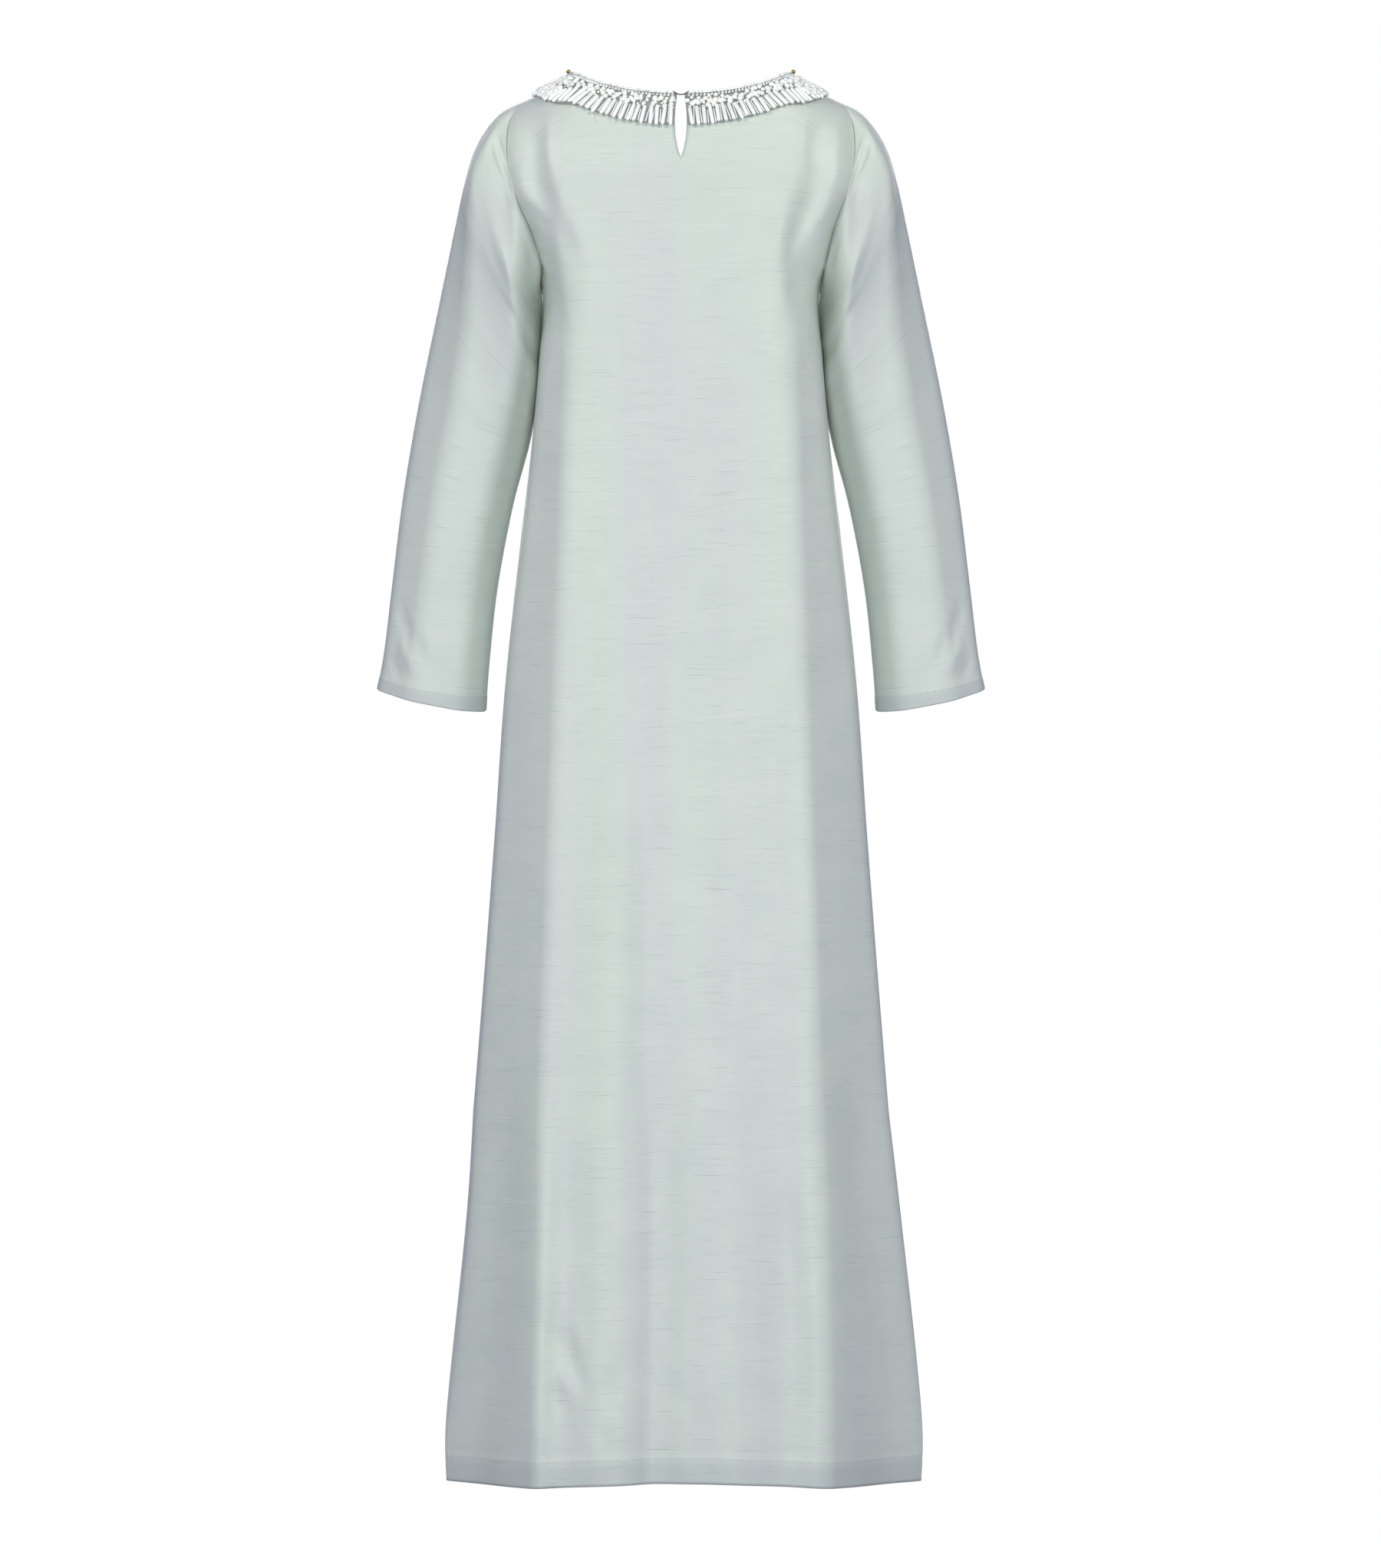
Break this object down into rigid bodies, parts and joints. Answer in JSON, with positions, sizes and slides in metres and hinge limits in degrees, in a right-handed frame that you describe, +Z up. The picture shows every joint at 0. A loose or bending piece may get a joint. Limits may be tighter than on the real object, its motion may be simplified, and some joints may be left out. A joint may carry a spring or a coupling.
{
  "type": "kaftan",
  "caption": "Full-length long-sleeved silk kaftan, hollow as worn, with a beaded collar band and a keyhole opening at the back of the neck.",
  "frame": {"origin": "midway between the two neck points, on the line of the shoulder seams, where the wearer's shoulders hold the garment", "axes": "+Z up, front towards -Y, back towards +Y, wearer's left arm at +X"},
  "size_m": [0.6368, 0.2597, 1.4711],
  "materials": {
    "silk": "pale sage green silk dupion with fine slubs and a soft sheen",
    "beads": "clear and pearly glass bugles and round beads",
    "thread": "dark grey twisted thread",
    "gold_bead": "polished golden brown"
  },
  "bodies": {
    "root": {"back_panel": "silk", "front_panel": "silk", "sleeve_left": "silk", "sleeve_right": "silk", "beaded_collar": "beads", "neck_loop": "thread", "neck_bead_left": "gold_bead", "neck_bead_right": "gold_bead"}
  },
  "joints": []
}
